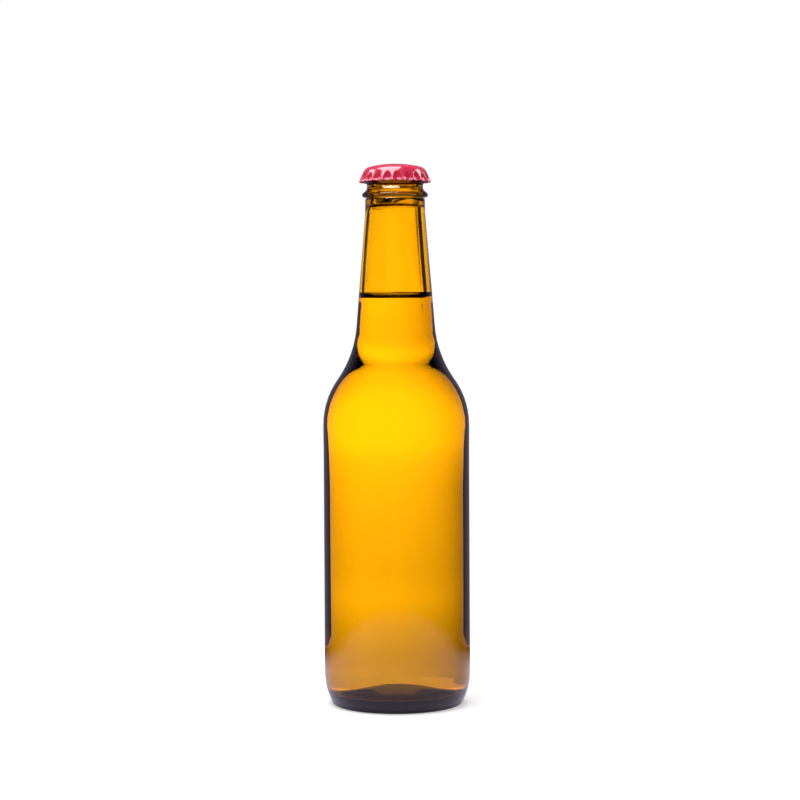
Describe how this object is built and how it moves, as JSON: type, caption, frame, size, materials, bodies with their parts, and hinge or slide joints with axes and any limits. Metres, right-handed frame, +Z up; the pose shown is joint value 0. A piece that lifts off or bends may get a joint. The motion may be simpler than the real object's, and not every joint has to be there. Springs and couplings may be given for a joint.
{
  "type": "capped glass bottle",
  "caption": "Filled amber glass long-neck bottle with a fluted crown cap that lifts off and a push-up base to stand on.",
  "frame": {"origin": "centre of the standing ring, on the surface that the bottle stands on", "axes": "+Z up along the bottle's axis, towards the crown; X and Y are free, because the bottle is round"},
  "size_m": [0.0618, 0.0618, 0.2286],
  "materials": {
    "amber_glass": "clear moulded amber glass",
    "drink": "clear pale gold liquid",
    "red_lacquer": "gloss lacquered tinplate",
    "liner": "soft moulded liner"
  },
  "bodies": {
    "bottle": {"bottle_glass": "amber_glass", "drink": "drink"},
    "crown": {"crown_shell": "red_lacquer", "crown_liner": "liner"}
  },
  "joints": [
    {"name": "crown_lift", "type": "slide", "parent": "bottle", "child": "crown", "axis": [0, 0, 1], "range_m": [0, 0.04]}
  ]
}
